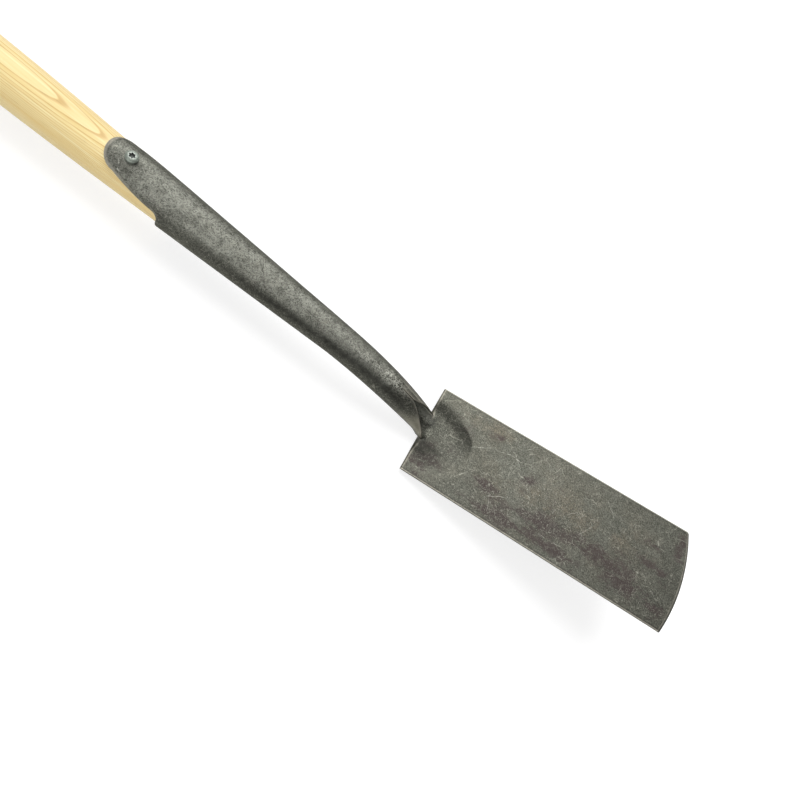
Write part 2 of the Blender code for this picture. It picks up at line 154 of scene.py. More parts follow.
# Steel under forging scale, worn and scratched. Hairs are fine light scratches along the borders of cells: the
# cells' shake, scale and width, two noises with their rises that keep the hairs in patches, and the strength.
steelLook = dict(
    dark=(0.042, 0.043, 0.035), middle=(0.116, 0.117, 0.098), warm=(0.142, 0.119, 0.087), pale=(0.275, 0.272, 0.228),
    bare=(0.430, 0.405, 0.340), stain=(0.052, 0.038, 0.037), polished=(0.225, 0.213, 0.160),
    frost=(0.330, 0.335, 0.290), scar=(0.66, 0.66, 0.58), paintedShade=(0.018, 0.018, 0.015), rim=(0.55, 0.55, 0.52),
    metallic=0.92, roughness=0.43, bumpDepth=0.00034, cloudShare=0.9, grainShare=3.8, toneLevel=-2.40,
    streakShare=0.2, coarseStreaks=0.5, rustShare=0.30, stainedRust=0.40, stainShare=0.12, rimeLow=0.12,
    rimeCurls=0.45, rimeRidges=0.85, ridgeWidth=15,
    hairs=[((60, 0.012), 42, 0.014, (38, 3), (0.50, 0.62), (75, 1), (0.50, 0.56), 0.70),
        ((150, 0.006), 140, 0.034, (52, 4), (0.46, 0.60), (150, 1), (0.50, 0.56), 0.60)],
    slashes=0.50, specks=0.60, holes=0.80, scars=0.95,
)


def endsOf(lines):  # both ends of each scratch on the spade as it lies, with z 0 where there are only x and y
    ends = np.array(lines).reshape(len(lines), 2, -1)
    return layDown(0.001 * np.pad(ends, ((0, 0), (0, 0), (0, 3 - ends.shape[2])))).tolist()


# Tone is a sum of soft clouds, mottle and fine grain, and blends dark to middle. Over it come brown rust where
# the stains are, frost and painted light as curls and ridges of noise, flecks, hairs, slashes and specks, the drawn
# scratches, pits with scars, polish with painted light, rubbed edges and at last painted shade. Coarse is the tube's
# heavier grain, and warmth a browner tone.
def steelFinish(name, look, scratches):
    finish, place = startFinish(name)
    wear, stain, polish, pits = (place.trait(t) for t in ("wear", "stain", "polish", "pits"))
    shade, frost, coarse, warmth = (place.trait(t) for t in ("shade", "frost", "coarse", "warmth"))
    cloud = place.noise(22, 4, 0.6)
    mottle = place.noise(140, 5, 0.68)
    grain = place.noise(950, 2, 0.7)
    streaks = place.stretch(0.06).noise(620, 3, 0.6)
    tone = cloud * look["cloudShare"] + mottle + grain * look["grainShare"] + look["toneLevel"]
    tone = tone + (streaks - 0.5) * (look["streakShare"] + look["coarseStreaks"] * coarse)
    middle = layUp(look["middle"], look, [(place.noise(34, 5, 0.65).rise(0.38, 0.62) * warmth, "warm")])
    colour = tone.limit().blend(look["dark"], middle)
    crisp = (place.stretch(0.5).noise(75, 7, 0.78) + stain * 0.15 - 0.575).rise(0, 0.05)
    rust = crisp * (look["rustShare"] + look["stainedRust"] * stain) + stain * look["stainShare"]
    rust = (rust * (0.15 + 1.7 * grain)).limit()
    curls = place.noise(440, 3, 0.65, 2.2)
    ridges = 1 - (abs(place.noise(260, 4, 0.60, 1.6) - 0.5) * look["ridgeWidth"]).limit()
    rimeAndLight = look["rimeLow"] + look["rimeCurls"] * curls.rise(0.44, 0.62) + look["rimeRidges"] * ridges
    # Frost and painted light: a rough pale layer that also stands for light on the tube's front, the swell and the
    # neck's shaded inside.
    rimeAndLight = frost * rimeAndLight * (0.25 + 1.3 * mottle.rise(0.25, 0.75))
    flecks = curls.rise(0.50, 0.66) * (0.25 + place.noise(60, 3)) * (0.30 + 0.70 * coarse)
    light = flecks
    for bend, size, width, patch, patchRise, gap, gapRise, strength in look["hairs"]:
        hair = 1 - place.shake(*bend).cells(size).rise(0, width)
        light = light + hair * place.noise(*patch).rise(*patchRise) * place.noise(*gap).rise(*gapRise) * strength
    slashes = place.stretch(0.05, turn=(0, 0, 0.7)).noise(700, 1).rise(0.67, 0.76)
    slashes = slashes * place.noise(30).rise(0.52, 0.66)
    specks = place.dots(220, 0.004, 330, 0.10, 0.22) * place.noise(90).rise(0.52, 0.66)
    light = light + slashes * look["slashes"] + specks * look["specks"]
    bent = place.shake(110, scratches["bend"])
    drawn = sum((bent.closeTo(*ends, scratches["reach"]) for ends in endsOf(scratches["lines"])), 0)
    drawn = drawn * (scratches["strength"] * place.noise(330).rise(0.32, 0.60))
    holes = (pits * place.dots(300, 0.003, 520, 0.20, 0.45)).limit()
    scars = (pits * place.noise(520, 3, 0.7, 1.5).rise(0.46, 0.58)).limit()
    rubbed = (wear * (0.25 + 1.1 * place.noise(230, 4, 0.6))).limit()
    # The last layer is painted shade from the shade trait; the frost and polish layers also lay painted light.
    colour = layUp(colour, look, [
        (rust, "stain"), (rimeAndLight, "frost"), (light, "pale"), (drawn, "scar"), (holes * look["holes"], "dark"),
        (scars * look["scars"], "scar"), (polish * (0.35 + 0.8 * mottle), "polished"), (rubbed, "bare"),
        (shade * (0.60 + 0.40 * mottle.rise(0.3, 0.7)), "paintedShade")])
    roughness = look["roughness"] + 0.20 * (grain - 0.5) + 0.09 * rust - 0.08 * rubbed - 0.06 * polish + 0.12 * frost
    metallic = (look["metallic"] - 0.30 * rust - 0.42 * frost - 0.50 * polish).limit()
    height = grain * 0.40 + mottle * 0.9 + flecks * 0.2 - 0.7 * holes + 0.4 * scars + streaks * (0.25 * coarse)
    return endFinish(finish, place, colour, roughness.limit(), metallic, height, look["bumpDepth"],
                     {"Specular IOR Level": 0.5, "Specular Tint": look["rim"]})


# Drawn scratches in millimetres: from x, y to x, y on the blade's face, and from x, y, z to x, y, z on the tongue
bladeScratches = dict(
    bend=0.0028, reach=0.0006, strength=0.25,
    lines=[(46.3, 7.9, 62.6, 17.4), (62.6, 17.4, 79.9, 20.8), (79.9, 20.8, 92.7, 20.2), (85.2, 23.1, 94.2, 14.6),
        (77.9, -23.7, 93.8, -16.4), (78.5, -22.9, 82.9, -36.4), (131.2, -30, 153.1, -29.7),
        (179.3, 32.5, 188.7, 21.3), (201.9, 13.7, 204.5, 26.8), (163.9, -11.2, 172.9, 2.4),
        (155.4, -10.3, 159.6, -15.8), (242.6, -20.7, 248.1, -25.1)],
)
tongueScratch = dict(
    bend=0.0006, reach=0.0007, strength=0.60,
    lines=[(-283.8, -6.5, 128.1, -282.3, -8.5, 126.9), (-282.3, -8.5, 126.9, -281.4, -11.8, 124.5),
        (-281.4, -11.8, 124.5, -279.1, -12.1, 123.5)],
)
bladeSteel = steelFinish("blade_steel", steelLook, bladeScratches)
tubeSteel = steelFinish("tube_steel", steelLook, tongueScratch)
print("steel ready")


# Ash: growth rings about a far heart, open pores along the grain, oiled
ashLook = dict(
    pale=(0.90, 0.745, 0.375), straw=(0.83, 0.62, 0.255), line=(0.65, 0.405, 0.135), bright=(0.96, 0.83, 0.47),
    pore=(0.46, 0.26, 0.08), bumpDepth=0.00010, roughness=0.42, ringDrift=0.0022, broadShare=0.55, ringShare=0.35,
    streakShare=0.35, brightShare=0.70, lineShare=0.85, poreShare=0.10, linePores=0.40, fibreShare=0.45,
    middle=(-0.517068, 0, 0.022381),
)

# Each piece's own grain: the turn that brings X along its fibres, the heart beside it and the rings' spacing
shaftGrain = dict(turn=(0, -0.016, 0), heart=(-0.0020, -0.0900), spacing=0.0009)
gripGrain = dict(turn=(0, 0, math.pi / 2), heart=(0.085, -0.035), spacing=0.0032)


# Rings are cylinders about the heart: the ring count is the distance to it over the spacing, and each ring ends
# in a thin dark line. Streaks, pores and fibres are noises drawn out along the grain.
def ashFinish(name, look, wood):
    finish, place = startFinish(name)
    grain = place.add("Mapping", {"vector_type": "TEXTURE"},
                      {"Vector": place, "Location": look["middle"], "Rotation": wood["turn"]})
    across, out = (grain.add("SeparateXYZ", {}, {0: grain}, axis) for axis in (1, 2))
    drift = grain.stretch(0.35).noise(22, 2) - 0.5
    side, rise = across - wood["heart"][0], out - wood["heart"][1]
    far = (side * side + rise * rise) ** 0.5 + drift * look["ringDrift"]
    ring = far.math("FRACT", far / wood["spacing"])
    line = ring.rise(0.62, 0.90) * (1 - ring.rise(0.94, 1))
    strength = 0.35 + 1.4 * grain.stretch(0.08).noise(150, 3)
    fibre = grain.stretch(0.012).noise(1300, 3, 0.65)
    pores = grain.stretch(0.040).noise(1700, 2, 0.5).rise(0.58, 0.72)
    broad = grain.stretch(0.08).noise(60, 3).rise(0.30, 0.70)
    streaks = grain.stretch(0.025).noise(430, 3, 0.6)
    straw = broad * look["broadShare"] + ring * look["ringShare"] + streaks.rise(0.50, 0.30) * look["streakShare"]
    colour = layUp(look["pale"], look, [
        (straw, "straw"), (streaks.rise(0.50, 0.66) * look["brightShare"], "bright"),
        (line * strength * look["lineShare"], "line"),
        (pores * (look["poreShare"] + look["linePores"] * line), "pore"),
        (fibre.rise(0.35, 0.75) * look["fibreShare"], "pale")])
    roughness = (look["roughness"] + 0.12 * line + 0.10 * (fibre - 0.5)).limit()
    height = fibre * 0.5 - pores * (0.4 + 0.6 * line)
    return endFinish(finish, place, colour, roughness, 0, height, look["bumpDepth"], {"Specular IOR Level": 0.45})


shaftAsh = ashFinish("shaft_ash", ashLook, shaftGrain)
gripAsh = ashFinish("grip_ash", ashLook, gripGrain)
print("ash ready")


# Zinc plate of the screw, plain steel of the pin and the filler over it. Cloud and bump are scales of noise.
zincLook = dict(
    colour=(0.305, 0.335, 0.290), dull=(0.200, 0.225, 0.195), recessShade=(0.03, 0.032, 0.03), rubbed=(0.55, 0.57, 0.55),
    roughness=0.46, metallic=0.75, cloud=700, fade=(0.35, 0.7), bump=(2500,), bumpDepth=0.00004,
)
pinLook = dict(zincLook, colour=(0.20, 0.19, 0.17), dull=(0.11, 0.105, 0.09))
fillerLook = dict(
    zincLook, colour=(0.66, 0.52, 0.27), dull=(0.52, 0.39, 0.19), roughness=0.55, metallic=0, cloud=900,
    fade=(0.3, 0.7), bump=(900, 4, 0.6), bumpDepth=0.0001,
)


# A cloud blends dull to the colour; painted shade lies where the stain trait is, which only the screw's recess has,
# and the rubbed colour where the wear is.
def plainFinish(name, look):
    finish, place = startFinish(name)
    cloud = place.noise(look["cloud"], 4, 0.6)
    colour = layUp(look["dull"], look, [(cloud.rise(*look["fade"]), "colour"), (place.trait("stain") * 0.9, "recessShade"),
                                        (place.trait("wear") * 0.5, "rubbed")])
    roughness = (look["roughness"] + 0.2 * (cloud - 0.5)).limit()
    height = place.noise(*look["bump"])
    return endFinish(finish, place, colour, roughness, look["metallic"], height, look["bumpDepth"], {})


screwZinc = plainFinish("screw_zinc", zincLook)
pinSteel = plainFinish("pin_steel", pinLook)
woodFiller = plainFinish("wood_filler", fillerLook)

weldReach = 2e-6


# Quads of a grid of rows by columns, numbered from start.
def gridFaces(rows, columns, start=0):
    a = (np.arange(rows - 1)[:, None] * columns + np.arange(columns - 1)[None, :]).reshape(-1) + start
    return np.stack([a, a + 1, a + 1 + columns, a + columns], axis=-1)


# A front and a back grid as one closed skin. They meet by themselves where the wall rounds off to nothing;
# a strip closes the first or last row where they don't.
def skin(front, back, firstStrip=False, lastStrip=False):
    rows, columns = front.shape[:2]
    count = rows * columns
    faces = [gridFaces(rows, columns), gridFaces(rows, columns, count)[:, ::-1]]
    for wanted, row in ((firstStrip, 0), (lastStrip, rows - 1)):
        if wanted:
            a = row * columns + np.arange(columns - 1)
            faces.append(np.stack([a, a + 1, a + 1 + count, a + count], axis=-1))
    return np.r_[front.reshape(-1, 3), back.reshape(-1, 3)], np.concatenate(faces)


def onSkin(grid, **pairs):  # traits of a skin, from one value or grid for its front and one for its back
    return {name: np.stack(np.broadcast_arrays(*pair, grid)[:2]) for name, pair in pairs.items()}


# Makes an object of points in the blade's frame: lays it down, welds doubles and turns its faces outwards.
def weldMesh(name, points, faces, traits):
    mesh = bpy.data.meshes.new(name)
    mesh.from_pydata(layDown(points.reshape(-1, 3)).tolist(), [], faces.tolist())
    for trait, values in traits.items():
        layer = mesh.attributes.new(trait, "FLOAT", "POINT")
        layer.data.foreach_set("value", np.ascontiguousarray(values, np.float32).ravel())
    form = bmesh.new()
    form.from_mesh(mesh)
    bmesh.ops.remove_doubles(form, verts=form.verts, dist=weldReach)
    bmesh.ops.recalc_face_normals(form, faces=form.faces)
    form.to_mesh(mesh)
    form.free()
    return putInScene(name, mesh)


def putInScene(name, data):
    made = bpy.data.objects.new(name, data)
    bpy.context.scene.collection.objects.link(made)
    return made


# Finishes a piece: smooth faces with sharp edges past an angle, its material, and its place on the spade.
def makePiece(name, points, faces, finish, slot, replaced=(), traits={}, sharp=40):
    piece = weldMesh(name, points, faces, traits)
    piece.data.shade_smooth()
    piece.data.set_sharp_from_angle(angle=math.radians(sharp))
    piece.data.materials.append(finish)
    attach(piece, "root")
    if replaced:
        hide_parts(*replaced)
    print("made", name, len(piece.data.polygons), "faces")
    return piece


def millimetres(steps):
    return 0.001 * np.array(steps)


def unit(x):  # keeps numbers between 0 and 1
    return np.clip(x, 0, 1)


def ramp(x, start, end):  # straight rise from 0 at start to 1 at end, and level outside
    return unit((x - start) / (end - start))


def bell(x, middle, width, power=2):  # e to minus the distance from the middle over the width, to a power
    return np.exp(-((x - middle) / width) ** power)


# Sum of soft round patches: strength times a bell along and a bell across. Rows of middle along and across,
# width along and across, and strength, in millimetres along (and across, where that isn't an angle).
def patches(along, across, rows):
    return sum(strength * bell(along, a, wide) * bell(across, b, high) for a, b, wide, high, strength in rows)


# Rounds a wall off towards its border: 0 at the border and 1 from reach inwards, along a superellipse.
def roundOff(distance, reach, power=2):
    return (1 - (1 - unit(distance / reach)) ** power) ** (1 / power)


# Distance of each point to the nearest point of a border line, which is made finer by an even count of shares.
def distanceTo(points, line, finer):
    places = np.linspace(0, len(line) - 1, finer * len(line))
    line = np.stack([np.interp(places, np.arange(len(line)), line[:, axis]) for axis in range(3)], axis=-1)
    spots = points.reshape(-1, 3)
    best = np.full(len(spots), 9.0)
    for part in np.array_split(line, 24):
        best = np.minimum(best, np.linalg.norm(spots[:, None] - part[None], axis=2).min(axis=1))
    return best.reshape(points.shape[:-1])


# A slow unevenness: the sum of a few sine waves in seeded directions, from -1 to 1.
def unevenness(x, y, wavelength, seed, waves=7):
    dice = np.random.default_rng(seed)
    total = 0 * x
    for _ in range(waves):
        heading, phase = dice.uniform(0, 2 * math.pi, 2)
        length = wavelength * dice.uniform(0.6, 1.7)
        total = total + np.sin(2 * math.pi * (x * math.cos(heading) + y * math.sin(heading)) / length + phase)
    return total / waves


def smoothLarger(one, other, reach):  # the larger of two, with a parabola where they differ by less than the reach
    near = np.maximum(reach - np.abs(one - other), 0) / reach
    return np.maximum(one, other) + near**2 * reach / 4


# The blade's plate. Steps are rows and columns in millimetres from a border; places are rows of patches.
plate = dict(
    topWidth=0.0886, edgeWidth=0.0974, sideLength=0.2602, edgeBulge=0.0071, thickness=0.0026, edgeThickness=0.0006,
    bevelWidth=0.0024, cornerRadius=0.0010, bowlDepth=0.0039, bowlCentre=0.012, bowlHalfLength=0.036,
    bowlHalfWidth=0.033, bowlPower=2.6, leftCentre=0.004, leftHalfLength=0.0432, leftHalfWidth=0.0326,
    leftPower=1.75, leastCrease=0.0002, rightCrease=0.0026, leftCrease=0.0014, swellRise=0.0052, swellLength=0.0100,
    swellSpread=0.0040, treadReach=0.0014, treadMore=0.0024, treadMiddle=0.012, treadSpread=0.009, noseLevel=0.0008,
    backReach=0.0008, backGap=0.00006, sideReach=0.0005, edgeRounding=0.0003, waveHeight=0.00005, dentHeight=0.00002,
    treadSteps=(0, 0.04, 0.12, 0.25, 0.42, 0.65, 0.95, 1.3, 1.7, 2.2, 2.8, 3.5, 4.3),
    bowlRows=(0.0052, 0.0485, 0.0009), rimBand=0.0036,
    cutSteps=(0, 0.03, 0.08, 0.16, 0.3, 0.6, 1, 1.4, 1.8, 2.2, 2.38, 2.42, 2.8, 3.4, 4.4, 6),
    rimSteps=(0, 0.03, 0.1, 0.2, 0.35, 0.55, 0.8, 1.15, 1.6, 2.1, 2.8), crescentShade=0.72, bowlShade=0.16,
    rightShade=0.16, borderShade=0.5, bowlCoarse=1.4, crestWear=1.1, cornerWear=0.95, lipWear=0.45, nosePolishAndLight=0.55,
    swellLight=1.2, leastWarmth=0.15,
    stains=[(190, -17, 36, 10, 1), (216, -30, 20, 7, 1), (240, -1, 22, 6, 1), (246, -33, 12, 6, 1),
        (255, 34, 6, 8, 1), (257, 20, 6, 6, 1), (228, 18, 14, 4, 1), (70, -18, 14, 8, 1), (92, -36, 30, 6, 1),
        (67, 30, 4, 3, 1), (105, 9, 9, 6, 1), (120, -20, 32, 10, 1), (15, -18, 17, 12, 1), (8, -36, 12, 9, 1),
        (150, -36, 30, 5, 1)],
    coarsePlaces=[(130, -4, 50, 24, 1), (70, -30, 50, 18, 1), (240, -30, 22, 14, 1)],
    warmPlaces=[(125, -6, 60, 26, 0.6), (185, 10, 40, 14, 0.6), (60, 34, 30, 10, 0.6)],
    # Shade and dark places: painted shade under the neck's mouth and in the crease beside its wall, and a few darker
    # patches of tone.
    shadeAndDarkPlaces=[(0, 0, 14, 15, 0.37), (11, -18, 16, 13, 0.296), (17, -13, 15, 4, 0.444), (7, -21, 9, 5, 0.407),
        (5.5, 13.5, 4, 4, 0.444), (50, -34, 30, 16, 0.10), (12, 40, 30, 8, 0.07)],
)


# Reach of a place in the bowl, 1 on its border: an ellipse on the right, and on the left the root of a sum of
# powers below 2, which is a straighter curve.
def bowlReach(x, y):
    left, power = ramp(y, 0, 0.02) ** 2, plate["leftPower"]
    ellipse = np.hypot((x - plate["bowlCentre"]) / plate["bowlHalfLength"], y / plate["bowlHalfWidth"])
    along, across = np.abs(x - plate["leftCentre"]) / plate["leftHalfLength"], np.abs(y) / plate["leftHalfWidth"]
    return ellipse * (1 - left) + (along**power + across**power) ** (1 / power) * left


# Depth of the bowl: its most times 1 - r to the power. It ends in a clear crease towards the cutting edge and
# flows into the plate at both sides, by a reach that grows to the right and to the left.
def bowlDrop(x, y):
    depth = plate["bowlDepth"] * (1 - bowlReach(x, y) ** plate["bowlPower"])
    right, left = unit(0.4 - y / 0.02), unit(y / 0.008 - 2.4)
    return smoothLarger(depth, 0, plate["leastCrease"] + plate["rightCrease"] * right + plate["leftCrease"] * left)


def edgeReach(y):  # circular arc of the cutting edge past the side corners, with rounded ends
    half, bulge, corner = plate["edgeWidth"] / 2, plate["edgeBulge"], plate["cornerRadius"]
    radius = (half**2 + bulge**2) / (2 * bulge)
    intoCorner = np.clip(np.abs(y) - (half - corner), 0, corner)
    return np.sqrt(radius**2 - y**2) - (radius - bulge) - (corner - np.sqrt(corner**2 - intoCorner**2))


def swell(x, y):  # the front rises against both walls of the neck: square of the fall along x, bell across y
    wall = neck["rootRadius"] - plate["thickness"] / 2
    return plate["swellRise"] * ramp(x, plate["swellLength"], 0) ** 2 * bell(np.abs(y), wall, plate["swellSpread"])


def treadReach(y):  # how far the tread's rounding reaches in: most beside the neck, by a bell across y
    more = ramp(np.abs(y), 0.0075, 0.010) * bell(np.abs(y), plate["treadMiddle"], plate["treadSpread"])
    return plate["treadReach"] + plate["treadMore"] * more


# The plate is two grids, middle + half and middle - half of its thickness. Rows run from the tread to the edge
# and bend with it, columns run across and follow the taper, and the thickness rounds off to 0 at every border.
def makePlate():
    length, thickness, edgeWidth = plate["sideLength"], plate["thickness"], plate["edgeWidth"]
    bowlRows = np.arange(*plate["bowlRows"])
    cutRows = length - millimetres(plate["cutSteps"])[::-1]
    flatRows = np.linspace(bowlRows[-1], cutRows[0], 118)[1:-1]
    stations = np.r_[millimetres(plate["treadSteps"]), bowlRows, flatRows, cutRows][:, None]
    share = stations / length
    halfWidth = (plate["topWidth"] * (1 - share) + edgeWidth * share) / 2
    inner = np.linspace(-1, 1, 92)[None, :] * (halfWidth - plate["rimBand"])
    left = millimetres(plate["rimSteps"])[None, :] - halfWidth
    y = np.hstack([left, inner, -left[:, ::-1]])
    bevelStart = length - plate["bevelWidth"]
    x = stations + edgeReach(np.clip(y / halfWidth, -1, 1) * edgeWidth / 2) * ramp(
        stations, plate["bowlCentre"] + plate["bowlHalfLength"], bevelStart)
    drop = bowlDrop(x, y)
    wave = plate["waveHeight"] * unevenness(x, y, 0.05, 4) + plate["dentHeight"] * unevenness(x, y, 0.012, 9, 12)
    # The unevenness only takes material away, so the plate stays within the solid's box.
    most = plate["waveHeight"] + plate["dentHeight"]
    away = ramp(x, 0.02, 0.05)
    front = swell(x, y) - drop + (wave - most) * away
    back = -drop - thickness + plate["backGap"] + (wave + most) * away
    ground = ramp(stations, bevelStart, length) + 0 * y
    front = front - (thickness - plate["edgeThickness"] - 2 * most) * ground
    # The tread rounds off mostly from the front, down to a level near the back.
    meet = -drop - thickness + plate["noseLevel"]
    front = meet + (front - meet) * roundOff(x, treadReach(y))
    back = meet - (meet - back) * roundOff(x, plate["backReach"])
    side = halfWidth - np.abs(y)
    thick = roundOff(side, plate["sideReach"], 2.5) * roundOff(length - stations, plate["edgeRounding"])
    middle, half = (front + back) / 2, (front - back) / 2 * thick
    points, faces = skin(np.stack([x, y, middle + half], axis=-1), np.stack([x, y, middle - half], axis=-1))

    beside = np.exp(-np.maximum(np.abs(y) - 0.010, 0) / 0.014) * (np.abs(y) > 0.0085)
    crest = bell(x, treadReach(y) * 0.92, 0.0007) * (0.35 + 0.65 * beside)
    corner = bell(side, 0.00045, 0.00035) * (ground < 0.5)
    lip = bell(stations, bevelStart - 0.0003, 0.0005)
    wear = unit(plate["crestWear"] * crest + plate["cornerWear"] * corner + plate["lipWear"] * lip)
    # Painted shade: a dark crescent on the bowl's left wall, the bowl as a whole darker than the plate, the ground
    # bevel and a thin line inside the side edges, and patches by the neck's mouth; the plate also darkens towards
    # the -y side.
    reach = bowlReach(x, y)
    heading = np.arctan2(y / plate["bowlHalfWidth"], (x - plate["bowlCentre"]) / plate["bowlHalfLength"])
    outer = unit((1.01 - reach) / (0.03 + 0.09 * ramp(heading, 0.4, 1.4)))
    crescent = ramp(reach, 0.54, 0.74) * outer * ramp(heading, -0.25, 0.35) * ramp(heading, 2.9, 2.4)
    inBowl = ramp(reach, 1.05, 0.70)
    along, across = 1000 * x, 1000 * y
    shade = unit(plate["borderShade"] * ((ground > 0.3) + bell(side, 0.0017, 0.0005)))
    shade = shade + plate["crescentShade"] * crescent + plate["bowlShade"] * inBowl
    shade = shade + patches(along, across, plate["shadeAndDarkPlaces"]) + plate["rightShade"] * ramp(y, 0.020, -0.045)
    coarse = unit(plate["bowlCoarse"] * inBowl + patches(along, across, plate["coarsePlaces"]))
    warmth = plate["leastWarmth"] + patches(along, across, plate["warmPlaces"])
    stain = unit(patches(along, across, plate["stains"])) * (1 - ground)
    # The tread's rounded nose is polished, and it is paler and less metallic as painted light on its face in the
    # tube's shadow.
    polish = plate["nosePolishAndLight"] * ramp(x, treadReach(y), 0) ** 0.5
    # Painted light: the swell beside the neck is made pale and less metallic, so that it shows lit instead of
    # mirroring the dark sky.
    frost = plate["swellLight"] * unit(swell(x, y) / 0.0012)
    hidden = 0.25 + 0.25 * unevenness(x, y, 0.06, 33)
    traits = onSkin(x, wear=(wear, wear), stain=(stain, hidden), shade=(unit(shade), 0), polish=(polish, 0),
                    warmth=(warmth, warmth), frost=(frost, 0), coarse=(coarse, 0))
    makePiece("blade_plate", points, faces, bladeSteel, "forged_steel", ["blade"], traits, sharp=50)


# The neck and the tube it goes on as. Places are rows of patches: millimetres along and an angle round the tube.
neck = dict(
    liftAngle=math.radians(15.4), bendRadius=0.317, bendLength=0.121, rootRadius=0.0104, belly=0.0010,
    bellyLength=0.110, bellyPower=0.7, flare=0.0022, flareLength=0.010, end=0.053, slitHalfWidth=0.0004,
    slitStart=0.033, slitEnd=0.046, lipReach=0.0030, lipAngle=math.radians(90), mouthPower=1.2, weldWidth=0.004,
    tip=0.321, tipRadius=0.0203, rimReach=0.0011, floorReach=0.0065, floorBlend=0.0045, waveLength=0.03,
    waveHeight=0.00006, turnLength=0.012, girth=0.066, rimSteps=(0, 0.05, 0.15, 0.3, 0.5, 0.75, 1.1, 1.6, 2.3, 3.2),
    closeSteps=(0.1, 0.25, 0.5, 0.8, 1.2, 1.8, 2.6, 3.6, 4.8, 6, 7),
    shadeStripe=dict(angle=-0.84, drift=-0.34, spread=0.33, more=0.13, fading=0.65),
    pitPlaces=[(58, -0.12, 13, 0.42, 1.3), (86, -0.22, 20, 0.30, 0.6)],
    polishPlaces=[(10, -1.45, 18, 0.42, 1.2), (14, -0.85, 9, 0.30, 0.7)],
    rimWear=1.2, lineWearAndSheen=0.9, insideLight=1.6,
)
rootSlope = neck["liftAngle"] + neck["bendLength"] / neck["bendRadius"]
rootHeight = neck["rootRadius"] / math.cos(rootSlope) - float(bowlDrop(0, 0)) - plate["thickness"]


# Centre line: an arc that rises from the tread and straightens to the lift angle. Gives place and outward unit.
def centreLine(station):
    radius, length = neck["bendRadius"], neck["bendLength"]
    slope = rootSlope - np.minimum(station, length) / radius
    straight = np.maximum(station - length, 0)
    x = radius * (np.sin(slope) - math.sin(rootSlope)) - straight * np.cos(slope)
    z = radius * (np.cos(slope) - math.cos(rootSlope)) + straight * np.sin(slope)
    outward = np.stack([np.sin(slope), 0 * x, np.cos(slope)], axis=-1)
    return np.stack([x, 0 * x, z + rootHeight], axis=-1), outward


def tubeRadius(station):  # a cone with a belly that is half a sine wave
    cone = neck["rootRadius"] + (neck["tipRadius"] - neck["rootRadius"]) * station / neck["tip"]
    return cone + neck["belly"] * np.sin(math.pi * ramp(station, 0, neck["bellyLength"]) ** neck["bellyPower"])


# Points round the tube at a depth below its outer face. Angle 0 is the front; the sides flare near the tread.
def tubePoints(station, angle, depth):
    point, outward = centreLine(station)
    flare = neck["flare"] * ramp(station, neck["flareLength"], 0) ** 2 * np.sin(angle) ** 2
    reach = tubeRadius(station) - depth + flare
    around = np.cos(angle)[..., None] * outward + np.sin(angle)[..., None] * np.array([0, 1, 0])
    return point + reach[..., None] * around


def lipStation(angle, reach=0):  # where the tube at this angle meets the upright plane just inside the tread
    forward = neck["rootRadius"] * np.cos(angle) * math.sin(rootSlope)
    return (forward - neck["lipReach"] - reach) / math.cos(rootSlope)


def tubeUnevenness(station, angle, seed):  # hammered unevenness round the tube
    return unevenness(station, angle * neck["turnLength"], neck["waveLength"], seed) * neck["waveHeight"]


def weldPits(station, angle):  # the pitted patch on the front of the weld
    return patches(1000 * station, angle, neck["pitPlaces"])


# Painted shade: a dark stripe, standing for a dark reflection, runs along the tube's lower side, from the mouth
# upwards,
# and slowly turns to the back: a bell across the angle, whose middle drifts, whose spread shrinks and which fades
# towards the tongue.
def paintedShadeStripe(station, angle):
    shadeStripe = neck["shadeStripe"]
    middle = shadeStripe["angle"] + shadeStripe["drift"] * ramp(station, 0.06, 0.18)
    spread = shadeStripe["spread"] + shadeStripe["more"] * ramp(station, 0.17, 0.10)
    ends = ramp(station, 0.012, 0.042) * (1 - shadeStripe["fading"] * ramp(station, 0.17, 0.25))
    return ends * bell(angle, middle, spread)


